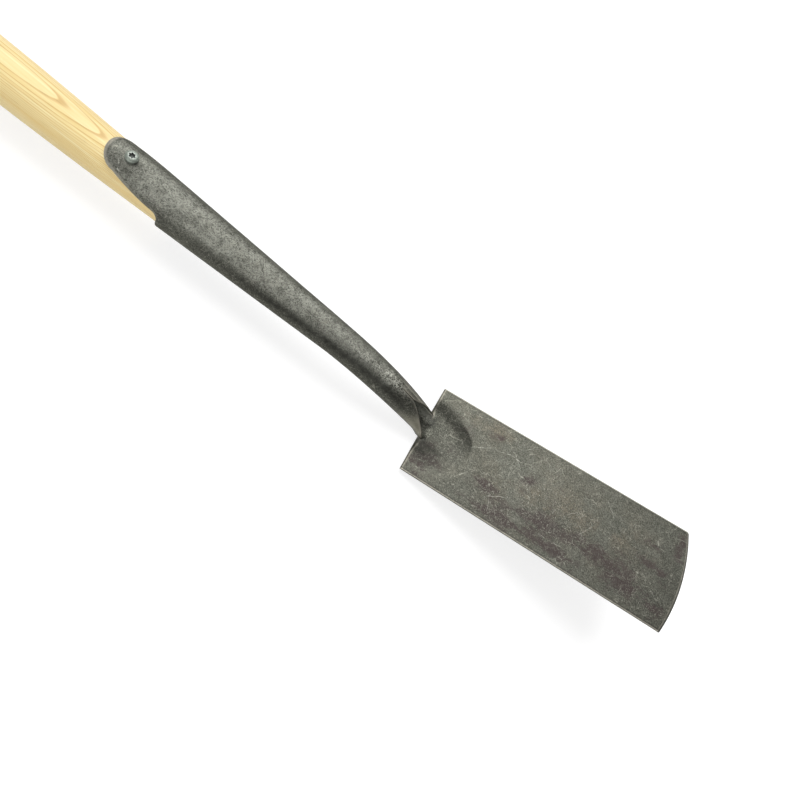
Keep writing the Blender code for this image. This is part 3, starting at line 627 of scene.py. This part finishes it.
# The neck is a wall of even thickness. Its columns run from one rim round the back to the other, and its rows
# from the upright lip to the weld; the opening between the rims narrows to a slit and then closes.
def makeNeck():
    lip, steps = float(lipStation(neck["lipAngle"])), millimetres(neck["rimSteps"])
    mouth = np.linspace(lip + steps[-1], neck["slitStart"], 34)[1:]
    slit = np.linspace(neck["slitStart"], neck["slitEnd"], 16)[1:]
    rims = np.r_[lip + steps, mouth, slit, neck["slitEnd"] + millimetres(neck["closeSteps"])]
    share = ramp(rims, neck["slitStart"], lip)
    narrow = neck["slitHalfWidth"] / tubeRadius(rims) * ramp(rims, neck["slitEnd"], neck["slitEnd"] - 0.002) ** 0.5
    opening = (narrow + (neck["lipAngle"] - narrow) * share ** neck["mouthPower"])[:, None]
    arc = steps / neck["girth"]
    across = np.r_[arc, np.linspace(arc[-1], 1 - arc[-1], 180)[1:-1], 1 - arc[::-1]]
    angle = opening + (2 * math.pi - 2 * opening) * across
    rimLip = lipStation(opening[:, 0])
    along = ((rims - rimLip) / (neck["end"] - rimLip))[:, None]
    # The floor of the mouth reaches further onto the plate than the walls do.
    further = neck["floorReach"] * unit(-1.3 * np.cos(angle) - 0.3)
    stations = lipStation(angle, further) * (1 - along) + neck["end"] * along
    wall = plate["thickness"] / 2
    middle = tubePoints(stations, angle, wall)
    border = rims <= neck["slitEnd"]
    edges = np.r_[middle[border, 0], middle[0], middle[border, -1][::-1]]
    toRim = distanceTo(middle, edges, 4)
    thick = roundOff(toRim, neck["rimReach"], 2.2)
    wave = tubeUnevenness(stations, angle, 5) * ramp(toRim, 0, 0.004)
    outer = tubePoints(stations, angle, wall * (1 - thick) - wave + 0.00003)
    inner = tubePoints(stations, angle, wall * (1 + thick) - wave)
    # The floor of the mouth flows into the bowl, and below it the tube stays between the plate's faces.
    x, y = outer[..., 0], outer[..., 1]
    floor = -bowlDrop(x, y) - plate["thickness"] + 0.0003
    outer[..., 2] = np.where(x > 0, np.maximum(outer[..., 2], floor), outer[..., 2])
    x, y = inner[..., 0], inner[..., 1]
    front = swell(np.maximum(x, 0), y) - bowlDrop(x, y) + 0.00004
    inner[..., 2] = smoothLarger(inner[..., 2], front, neck["floorBlend"] * np.clip(1 + x / 0.014, 0.02, 1))
    outer[0] = inner[0]
    points, faces = skin(outer, inner, lastStrip=True)

    turn = np.where(angle > math.pi, angle - 2 * math.pi, angle)
    # Two ground lines run beside the slit on the left wall of the neck, from the weld to the mouth: worn, and a
    # painted highlight along them.
    lines = (bell(turn, 0.38, 0.045) + 0.7 * bell(turn, 0.53, 0.035)) * bell(stations, 0.034, 0.014, 4)
    wear = unit(neck["rimWear"] * np.exp(-toRim / 0.0007) * (further < 0.0001) + neck["lineWearAndSheen"] * lines)
    # Polish and painted light: a paler flank near the mouth, polished and painted as a reflection, and a painted
    # highlight flare below the slit.
    polish = patches(1000 * stations, turn, neck["polishPlaces"])
    # Painted light: the inside of the left wall is paler and less metallic, so that it shows lit though it lies in
    # shade.
    litInside = neck["insideLight"] * ramp(turn, 0.1, 0.5) * ramp(turn, 2.5, 1.9)
    traits = onSkin(turn, frost=(0, litInside), shade=(paintedShadeStripe(stations, turn), 0), wear=(wear, 0.8 * wear),
                    polish=(polish, 0), pits=(weldPits(stations, turn), 0), coarse=(ramp(stations, 0, 0.025), 1))
    makePiece("blade_neck", points, faces, tubeSteel, "forged_steel", ["blade"], traits, sharp=60)


weld = dict(before=0.0012, after=0.0018, proud=0.00010, sunk=0.00006, rough=0.00005, inside=0.0001)


# The weld ring overlaps both its neighbours and is pitted on the front. It stands a hair proud, by half a sine
# wave to the power 0.6, with a fine unevenness that is deeper in the pits.
def makeWeld():
    start, end = neck["end"] - weld["before"], neck["end"] + neck["weldWidth"] + weld["after"]
    stations, angle = np.meshgrid(np.linspace(start, end, 30), np.linspace(-math.pi, math.pi, 241), indexing="ij")
    proud = weld["proud"] * np.sin(math.pi * unit((stations - start) / (end - start))) ** 0.6 - weld["sunk"]
    rough = weld["rough"] * unevenness(stations, angle * neck["turnLength"], 0.004, 12, 16)
    pits = weldPits(stations, angle)
    outer = tubePoints(stations, angle, -(proud + rough * (0.4 + pits)))
    inner = tubePoints(stations, angle, plate["thickness"] - weld["inside"])
    points, faces = skin(outer, inner, True, True)
    traits = onSkin(pits, pits=(pits, 0), coarse=(1, 1), shade=(paintedShadeStripe(stations, angle), 0))
    makePiece("weld_ring", points, faces, tubeSteel, "dressed_weld", ["neck_weld"], traits, sharp=60)


# Painted shadow lies below the screw's head, and a darker patch beside it towards the tongue's tip. The frost and
# light zone is the rough front, made paler as a painted highlight: the angle where each side ends, and how softly.
socket = dict(
    wall=0.0023, bevelReach=0.0021, bevelDrop=0.0009, bevelPower=1.3, rimReach=0.0007, tongueLength=0.0530,
    tongueTipLength=0.0130, tongueTipAngle=math.radians(46), tongueFillet=0.0055, tongueRootAngle=math.radians(66),
    tongueSidePower=1.45, afterWeld=0.0006,
    rimSteps=(0, 0.03, 0.09, 0.18, 0.3, 0.45, 0.62, 0.85, 1.2, 1.8, 2.8, 4.2),
    shadowAndDarkPlaces=[(297.2, -0.09, 3.2, 0.15, 0.9), (306.5, -0.50, 9, 0.28, 0.45)],
    frostRight=(-0.88, 0.09), frostLeft=(0.45, 0.10),
)


# Upper outline of the socket: angle round the tube and drop below the tongue's tip. An ellipse quarter for
# the tip, a bowed side, a fillet and the straight cut round the back.
def tongueOutline():
    root = socket["tongueLength"] - socket["tongueFillet"]
    turn = socket["tongueFillet"] / tubeRadius(neck["tip"] - root)
    tip, fillet = np.linspace(0, math.pi / 2, 34), np.linspace(0, math.pi / 2, 14)[1:]
    side = np.linspace(0, 1, 34)[1:]
    back = np.linspace(socket["tongueRootAngle"] + turn, math.pi, 26)[1:]
    bowed = 1 - (1 - side) ** socket["tongueSidePower"]
    tipAngle, rootAngle, tipLength = socket["tongueTipAngle"], socket["tongueRootAngle"], socket["tongueTipLength"]
    return np.hstack([(tipAngle * np.sin(tip), tipLength * (1 - np.cos(tip))),
                      (tipAngle + (rootAngle - tipAngle) * bowed, tipLength + (root - tipLength) * side),
                      (rootAngle + turn * (1 - np.cos(fillet)), root + socket["tongueFillet"] * np.sin(fillet)),
                      (back, 0 * back + socket["tongueLength"])])


# The socket is the tube's wall between the weld and the outline: each column runs from the weld up to its own
# drop below the tip, and the wall rounds off there.
def makeSocket():
    angles, drops = tongueOutline()
    angle = np.r_[-angles[::-1], angles[1:]]
    drop = np.r_[drops[::-1], drops[1:]]
    start = neck["end"] + neck["weldWidth"] + socket["afterWeld"]
    fine = millimetres(socket["rimSteps"]) / (neck["tip"] - start)
    share = np.r_[np.linspace(0, 1 - fine[-1], 96)[:-1], 1 - fine[::-1]][:, None]
    stations = start + share * (neck["tip"] - drop - start)
    angle = angle + 0 * stations
    wall = socket["wall"] / 2
    middle = tubePoints(stations, angle, wall)
    toRim = np.ones(stations.shape)
    toRim[-40:] = distanceTo(middle[-40:], middle[-1], 6)
    thick = roundOff(toRim, socket["rimReach"], 3)
    wave = tubeUnevenness(stations, angle, 8) * ramp(toRim, 0, 0.004)
    wave = wave * np.sin(math.pi * ramp(angle, -math.pi, math.pi)) ** 0.5
    # The tongue's border is bevelled from outside, most at its tip.
    tip = bell(angle, 0, 0.95, 4)
    bevel = socket["bevelDrop"] * tip * ramp(toRim, socket["bevelReach"], 0) ** socket["bevelPower"]
    outer = tubePoints(stations, angle, np.maximum(wall * (1 - thick), bevel) - wave)
    inner = tubePoints(stations, angle, wall * (1 + thick) - wave)
    points, faces = skin(outer, inner, firstStrip=True)

    wear = unit(0.5 * np.exp(-toRim / 0.0006) + 0.6 * tip * (toRim < socket["bevelReach"]))
    # Painted shade: a dark line just inside the tongue's bevel.
    border = 0.6 * tip * bell(toRim, socket["bevelReach"] + 0.0005, 0.0004)
    shade = np.maximum(paintedShadeStripe(stations, angle), border)
    for row in socket["shadowAndDarkPlaces"]:
        shade = np.maximum(shade, patches(1000 * stations, angle, [row]))
    # The front gets rougher, and paler as a painted highlight, towards the tongue, between a dark stripe on each
    # side.
    (right, rightSoft), (left, leftSoft) = socket["frostRight"], socket["frostLeft"]
    window = 1 / (1 + np.exp((right - angle) / rightSoft)) / (1 + np.exp((angle - left) / leftSoft))
    frost = ramp(stations, 0.020, 0.110) * window * (1 - 0.5 * ramp(stations, 0.285, 0.315))
    stain = 0.25 * unit(unevenness(stations, angle * 0.016, 0.05, 17))
    traits = onSkin(frost, wear=(wear, wear), pits=(weldPits(stations, angle), 0), stain=(stain, stain),
                    frost=(frost, 0), coarse=(1, 1), shade=(shade, 0))
    makePiece("socket_tube", points, faces, tubeSteel, "socket_steel", ["socket"], traits, sharp=60)


# Frame of the straight part of the shaft: origin, up the shaft, front and side.
def shaftFrame(station):
    point, outward = centreLine(np.array(station))
    along = np.array([-math.cos(neck["liftAngle"]), 0, math.sin(neck["liftAngle"])])
    return point, along, outward, np.array([0, 1, 0])


# Grids of the levels and radii of rings, each a pair of level along the axis and radius: numbers, columns or grids.
def ringGrids(angle, rings):
    grids = [np.broadcast_arrays(level, radius, angle)[:2] for level, radius in rings]
    return (np.concatenate(grid) for grid in zip(*grids))


# Turns rings about a line: a point is origin + level * axis + radius * (cos angle * out + sin angle * across).
def turnRings(origin, axis, out, across, angle, rings):
    levels, radii = ringGrids(angle, rings)
    around = np.cos(angle)[..., None] * out + np.sin(angle)[..., None] * across
    return origin + levels[..., None] * axis + radii[..., None] * around, gridFaces(*radii.shape)


def fullTurn(columns):  # angles of a closed ring, the last the same as the first
    return np.linspace(0, 2 * math.pi, columns)[None, :]


screw = dict(
    station=0.303, radius=0.00485, height=0.0030, recessRadius=0.0021, lobe=0.00036, recessDepth=0.0019,
    skirt=0.0008, crown=0.4, domePower=0.6, seatGap=0.0003,
)


# The head is a turned profile: a skirt, a dome r * cos to a power over a straight rise, and a recess whose rings
# are shares of a star. The star has six lobes: a cosine of six times the angle on a circle.
def makeScrew():
    point, along, outward, side = shaftFrame(screw["station"])
    seat = point + (float(tubeRadius(screw["station"])) + screw["seatGap"]) * outward
    angle, skirt = fullTurn(145), -screw["skirt"]
    crown, height, radius = screw["crown"] * screw["height"], screw["height"], screw["radius"]
    turn = np.linspace(0, math.pi / 2, 26)[:, None]
    dome, rise = radius * np.cos(turn) ** screw["domePower"], crown + (height - crown) * np.sin(turn)
    keep = dome[:, 0] > screw["recessRadius"] + screw["lobe"] + 0.0004
    dome, rise = dome[keep], rise[keep]
    star = screw["recessRadius"] + screw["lobe"] * np.cos(6 * angle)
    lip, floor = float(rise[-1, 0]) + 0.00006, height - screw["recessDepth"]
    rings = [(skirt, 0), (skirt, radius * 0.90), (skirt + 0.0001, radius * 0.985), (crown, radius),
             (rise[1:], dome[1:]), (lip, (dome[-1:] + star) / 2), (lip, star + 0.00012), (lip - 0.0001, star),
             (lip - 0.0006, star * 0.985), (floor + 0.0001, star * 0.96), (floor, star * 0.90),
             (floor, np.linspace(0.55, 0, 8)[:, None] * star)]
    levels, radii = ringGrids(angle, rings)
    # Painted shade: the recess is darkened through the stain trait.
    inside = (radii < star * 0.995) & (levels > skirt / 2)
    wear = bell(radii, star + 0.0001, 0.0002) * (levels > 0.001)
    makePiece("screw_head", *turnRings(seat, outward, along, side, angle, rings), screwZinc, "zinc_plate",
              ["socket_screw"], {"stain": inside.astype(float), "wear": wear}, sharp=35)


shaft = dict(
    radius=0.0190, foot=0.125, footChamfer=0.002, fullStation=0.400, fullPower=1.5, gripStation=0.800,
    topRadius=0.0151, topTaperLength=0.105, topTaperPower=1.6, intoGrip=0.012, tenonRadius=0.0125, seatGap=0.0003,
    waveHeight=0.00006,
)
grip = dict(
    length=0.155, middleRadius=0.02237, endRadius=0.0163, barrelPower=1.8, endRounding=0.0035, endHollow=0.00015,
    pinRadius=0.00175, pinSunk=0.0008, pinGap=0.0002, pinDome=0.0003, boreDepth=0.006, boreGap=0.00022,
    fillerGap=0.00022,
)
gripPoint, upShaft, outward, side = shaftFrame(shaft["gripStation"])  # at the grip's middle


def gripRadius(y):  # barrel: falls from the middle with a power of the distance
    share = np.abs(y) / (grip["length"] / 2)
    return grip["middleRadius"] - (grip["middleRadius"] - grip["endRadius"]) * share ** grip["barrelPower"]


# Radius of the shaft at a station: it follows the socket's inside, fills out above it, and narrows at the top.
def shaftRadius(station):
    seat = tubeRadius(np.minimum(station, neck["tip"])) - socket["wall"] - shaft["seatGap"]
    left = ramp(station, shaft["fullStation"], neck["tip"]) ** shaft["fullPower"]
    lower = np.where(station < neck["tip"], seat, shaft["radius"] - (shaft["radius"] - seat) * left)
    underside = shaft["gripStation"] - grip["middleRadius"]
    rise = ramp(station, underside - shaft["topTaperLength"], underside)
    return lower - (shaft["radius"] - shaft["topRadius"]) * rise ** shaft["topTaperPower"]


# The shaft is one turned profile with a foot, a body and a tenon, whose end follows the barrel of the grip: the
# height of a circle of the grip's radius over each place of the tenon.
def makeShaft():
    origin, angle = gripPoint - shaft["gripStation"] * upShaft, fullTurn(161)
    foot, tenon = shaft["foot"], shaft["tenonRadius"]
    body = np.linspace(foot + 0.002, shaft["gripStation"] - shaft["intoGrip"], 240)[:, None]
    radius = shaftRadius(body)
    hand = shaft["waveHeight"] * unevenness(body + 0 * angle, np.cos(angle) * 0.02, 0.09, 40)
    rings = [(foot, 0), (foot, radius[0] - shaft["footChamfer"]), (body, radius + hand),
             (shaft["gripStation"], tenon)]
    for share in (1, 0.995, 0.97, 0.9, 0.75, 0.55, 0.3, 0):
        r = tenon * share + 0 * angle
        top = np.sqrt(gripRadius(r * np.sin(angle)) ** 2 - (r * np.cos(angle)) ** 2)
        sunk = 0.00010 + 0.0003 * (share == 1) + 0.00008 * (share == 0.995)
        rings.append((shaft["gripStation"] + top - sunk, r))
    turned = turnRings(origin, upShaft, outward, side, angle, rings)
    makePiece("ash_shaft", *turned, shaftAsh, "ash_shaft", ["shaft"])


# Cuts one piece out of another and keeps the result in the piece's own mesh.
def cutAway(piece, cutters):
    for cutter in cutters:
        tool = piece.modifiers.new("cut", "BOOLEAN")
        tool.operation, tool.solver, tool.object = "DIFFERENCE", "EXACT", cutter
    graph = bpy.context.evaluated_depsgraph_get()
    cut = bpy.data.meshes.new_from_object(piece.evaluated_get(graph))
    piece.modifiers.clear()
    piece.data = cut
    cut.shade_smooth()
    cut.set_sharp_from_angle(angle=math.radians(40))
    for cutter in cutters:
        bpy.data.objects.remove(cutter, do_unlink=True)


def gripRod(name, axis, out, low, high, radius):  # a straight cylinder between two levels from the grip's middle
    rings = [(low, 0), (low, radius), (high, radius), (high, 0)]
    return weldMesh(name, *turnRings(gripPoint, axis, out, side, fullTurn(97), rings), {})


# The grip is a turned barrel with quarter rounds at its ends and nearly flat faces, hollowed by a parabola. The
# tenon's mortise and the pin's hole are cut through it.
def makeGrip():
    half, rounding = grip["length"] / 2, grip["endRounding"]
    body = np.linspace(-(half - rounding), half - rounding, 120)[:, None]
    turn = np.linspace(0, math.pi / 2, 14)[1:, None]
    endRadius = float(gripRadius(half - rounding))
    roundRadius = endRadius - rounding * (1 - np.cos(turn))
    roundLevel = half - rounding + rounding * np.sin(turn)
    share = np.array([0.92, 0.6, 0.3, 0])[:, None]
    face, level = (endRadius - rounding) * share, half - grip["endHollow"] * (1 - share**2)
    rings = [(-level[::-1], face[::-1]), (-roundLevel[::-1], roundRadius[::-1]), (body, gripRadius(body)),
             (roundLevel, roundRadius), (level, face)]
    turned = turnRings(gripPoint, side, outward, upShaft, fullTurn(161), rings)
    made = makePiece("ash_grip", *turned, gripAsh, "ash_grip", ["grip"])
    past = grip["middleRadius"] * 1.5
    bore = gripRod("bore", upShaft, outward, grip["middleRadius"] - grip["boreDepth"], past,
                   shaft["tenonRadius"] + grip["boreGap"])
    pinHole = gripRod("pinHole", outward, upShaft, -past, past, grip["pinRadius"] + grip["pinGap"])
    cutAway(made, [bore, pinHole])


def makePin():  # a rod with a small dome at each end, a quarter of an ellipse
    reach = grip["middleRadius"] - grip["pinSunk"] - grip["pinGap"]
    turn = np.linspace(0, math.pi / 2, 7)[:, None]
    dome, lift = grip["pinRadius"] * np.cos(turn), grip["pinDome"] * np.sin(turn)
    rings = [(-reach - lift[::-1], dome[::-1]), (reach + lift, dome)]
    turned = turnRings(gripPoint, outward, upShaft, side, fullTurn(49), rings)
    makePiece("grip_pin_rod", *turned, pinSteel, "pin_steel", ["grip_pin"])


# The filler closes the pin's hole flush with the barrel: its top has the height of a circle of the grip's radius.
# Rows are the share of its radius and the level in millimetres.
filler = [(0, -0.55), (0.6, -0.55), (1, -0.5), (1, -0.12), (0.96, -0.03), (0.8, 0), (0.5, -0.04), (0.25, -0.1),
          (0, -0.12)]


def makeFiller(name, facing):
    angle, top = fullTurn(49), grip["middleRadius"]
    share, level = np.array(filler).T[..., None]
    radius = (grip["pinRadius"] + grip["fillerGap"]) * share
    height = np.sqrt(top**2 - (radius * np.cos(angle)) ** 2) + 0.001 * level
    turned = turnRings(gripPoint, facing * outward, upShaft, side, angle, [(height, radius)])
    makePiece(name, *turned, woodFiller, "ash_grip")


makePlate()
makeNeck()
makeWeld()
makeSocket()
makeScrew()
makeShaft()
makeGrip()
makePin()
makeFiller("filler_front", 1)
makeFiller("filler_back", -1)

# Floor, light and camera
studio = dict(
    floorSize=12, backdropHeight=2.5, backdropShare=0.98, floorColour=0.44, floorLift=0.70, skyLow=0.08,
    skyHigh=0.40, skyFrom=(-0.45, 0.38, 0.80), skyDark=-0.45, skyBright=0.85, keyFrom=(0, 0.50, 0.87),
    keyStrength=2.35, keyAngle=50, fillFrom=(0.05, -0.88, 0.47), fillStrength=1.6, fillAngle=70,
)
white = (1, 1, 1)


# Makes a part of the stage. Its surface is one shader for rays that see it directly, those of the camera and
# those that metal or glass sends on, and another for the light's.
def makeStage(name, points, faces, finishName, shaders):
    mesh = bpy.data.meshes.new(name)
    mesh.from_pydata(points, [], faces)
    finish, place = startFinish(finishName)
    rays = [place.add("LightPath", {}, {}, ray) for ray in ("Is Camera Ray", "Is Glossy Ray", "Is Transmission Ray")]
    unseen, seen = shaders(place)
    mixed = place.add("MixShader", {}, {0: (rays[0] + rays[1] + rays[2]).limit(), 1: unseen, 2: seen})
    place.add("OutputMaterial", {}, {"Surface": mixed})
    mesh.materials.append(finish)
    putInScene(name, mesh)


def backdropShaders(place):  # clear for the light of the lamps and the sky, white where it is seen
    return place.add("BsdfTransparent", {}, {}), place.add("Emission", {}, {"Color": white, "Strength": 1})


def floorShaders(place):  # a pale floor that keeps the shadow, lifted to white where it is seen
    plain = place.add("BsdfDiffuse", {}, {"Color": (studio["floorColour"],) * 3})
    lift = place.add("Emission", {}, {"Color": white, "Strength": studio["floorLift"]})
    return plain, place.add("AddShader", {}, {0: plain, 1: lift})


def makeBackdrop():  # a low wall round the floor: a circle at two levels
    angle = fullTurn(65)[0, :-1]
    radius, count = studio["floorSize"] / 2 * studio["backdropShare"], len(angle)
    ring = np.stack([radius * np.cos(angle), radius * np.sin(angle), 0 * angle], axis=-1)
    points = np.r_[ring, ring + (0, 0, studio["backdropHeight"])]
    faces = [((a + 1) % count, a, a + count, (a + 1) % count + count) for a in range(count)]
    makeStage("backdrop", points.tolist(), faces, "white_backdrop", backdropShaders)


def makeFloor():
    half = studio["floorSize"] / 2
    corners = [(-half, -half, 0), (half, -half, 0), (half, half, 0), (-half, half, 0)]
    makeStage("floor", corners, [(0, 1, 2, 3)], "pale_floor", floorShaders)


def turned(direction):  # sends a direction of the blade's frame to the floor's frame
    return (Matrix.Rotation(-lie["tilt"], 3, "Y") @ Vector(direction)).normalized()


# The sky is brightest towards one side, by a smooth step of the cosine to it; two broad lamps do the rest.
def lightStudio():
    world = bpy.data.worlds.new("studio")
    bpy.context.scene.world = world
    way = startNodes(world, "Generated")
    share = way.vector("DOT_PRODUCT", {0: way, 1: tuple(turned(studio["skyFrom"]))}, "Value")
    share = share.rise(studio["skyDark"], studio["skyBright"])
    strength = studio["skyLow"] + share * (studio["skyHigh"] - studio["skyLow"])
    way.add("OutputWorld", {}, {"Surface": way.add("Background", {}, {"Color": white, "Strength": strength})})
    hangLamp("key")
    # The fill stands for the light that pale surroundings throw back, and is too broad to mirror.
    hangLamp("fill").specular_factor = 0


def hangLamp(name):
    light = bpy.data.lights.new(name, "SUN")
    light.energy, light.angle = studio[name + "Strength"], math.radians(studio[name + "Angle"])
    lamp = putInScene(name, light)
    lamp.rotation_euler = turned(studio[name + "From"]).to_track_quat("Z", "Y").to_euler()
    return light


# The camera's place and axes in the blade's frame, as solved from the photograph's outlines
camera = dict(
    lens=28.25, sensor=36, nearest=0.01, place=(-0.034594, -0.229984, 0.494965),
    across=(0.999997, 0.000999, -0.002043), upward=(0, 0.898379, 0.439222), back=(0.002274, -0.439221, 0.898376),
    roll=(0.8531, 0.5217),
)


def placeCamera():
    across, upward = Vector(camera["across"]), Vector(camera["upward"])
    c, s = camera["roll"]
    right, back = turned(c * across + s * upward), turned(camera["back"])
    up = back.cross(right).normalized()
    right = up.cross(back)
    lens = bpy.data.cameras.new("view")
    lens.lens, lens.sensor_width, lens.clip_start = camera["lens"], camera["sensor"], camera["nearest"]
    holder = putInScene("view", lens)
    axes = Matrix((right, up, back)).transposed().to_4x4()
    axes.translation = Vector(layDown(np.array(camera["place"])))
    holder.matrix_world = axes
    bpy.context.scene.camera = holder


makeFloor()
makeBackdrop()
lightStudio()
placeCamera()
bpy.context.scene.view_settings.view_transform = "Standard"
print("studio ready")

bpy.context.view_layer.update()
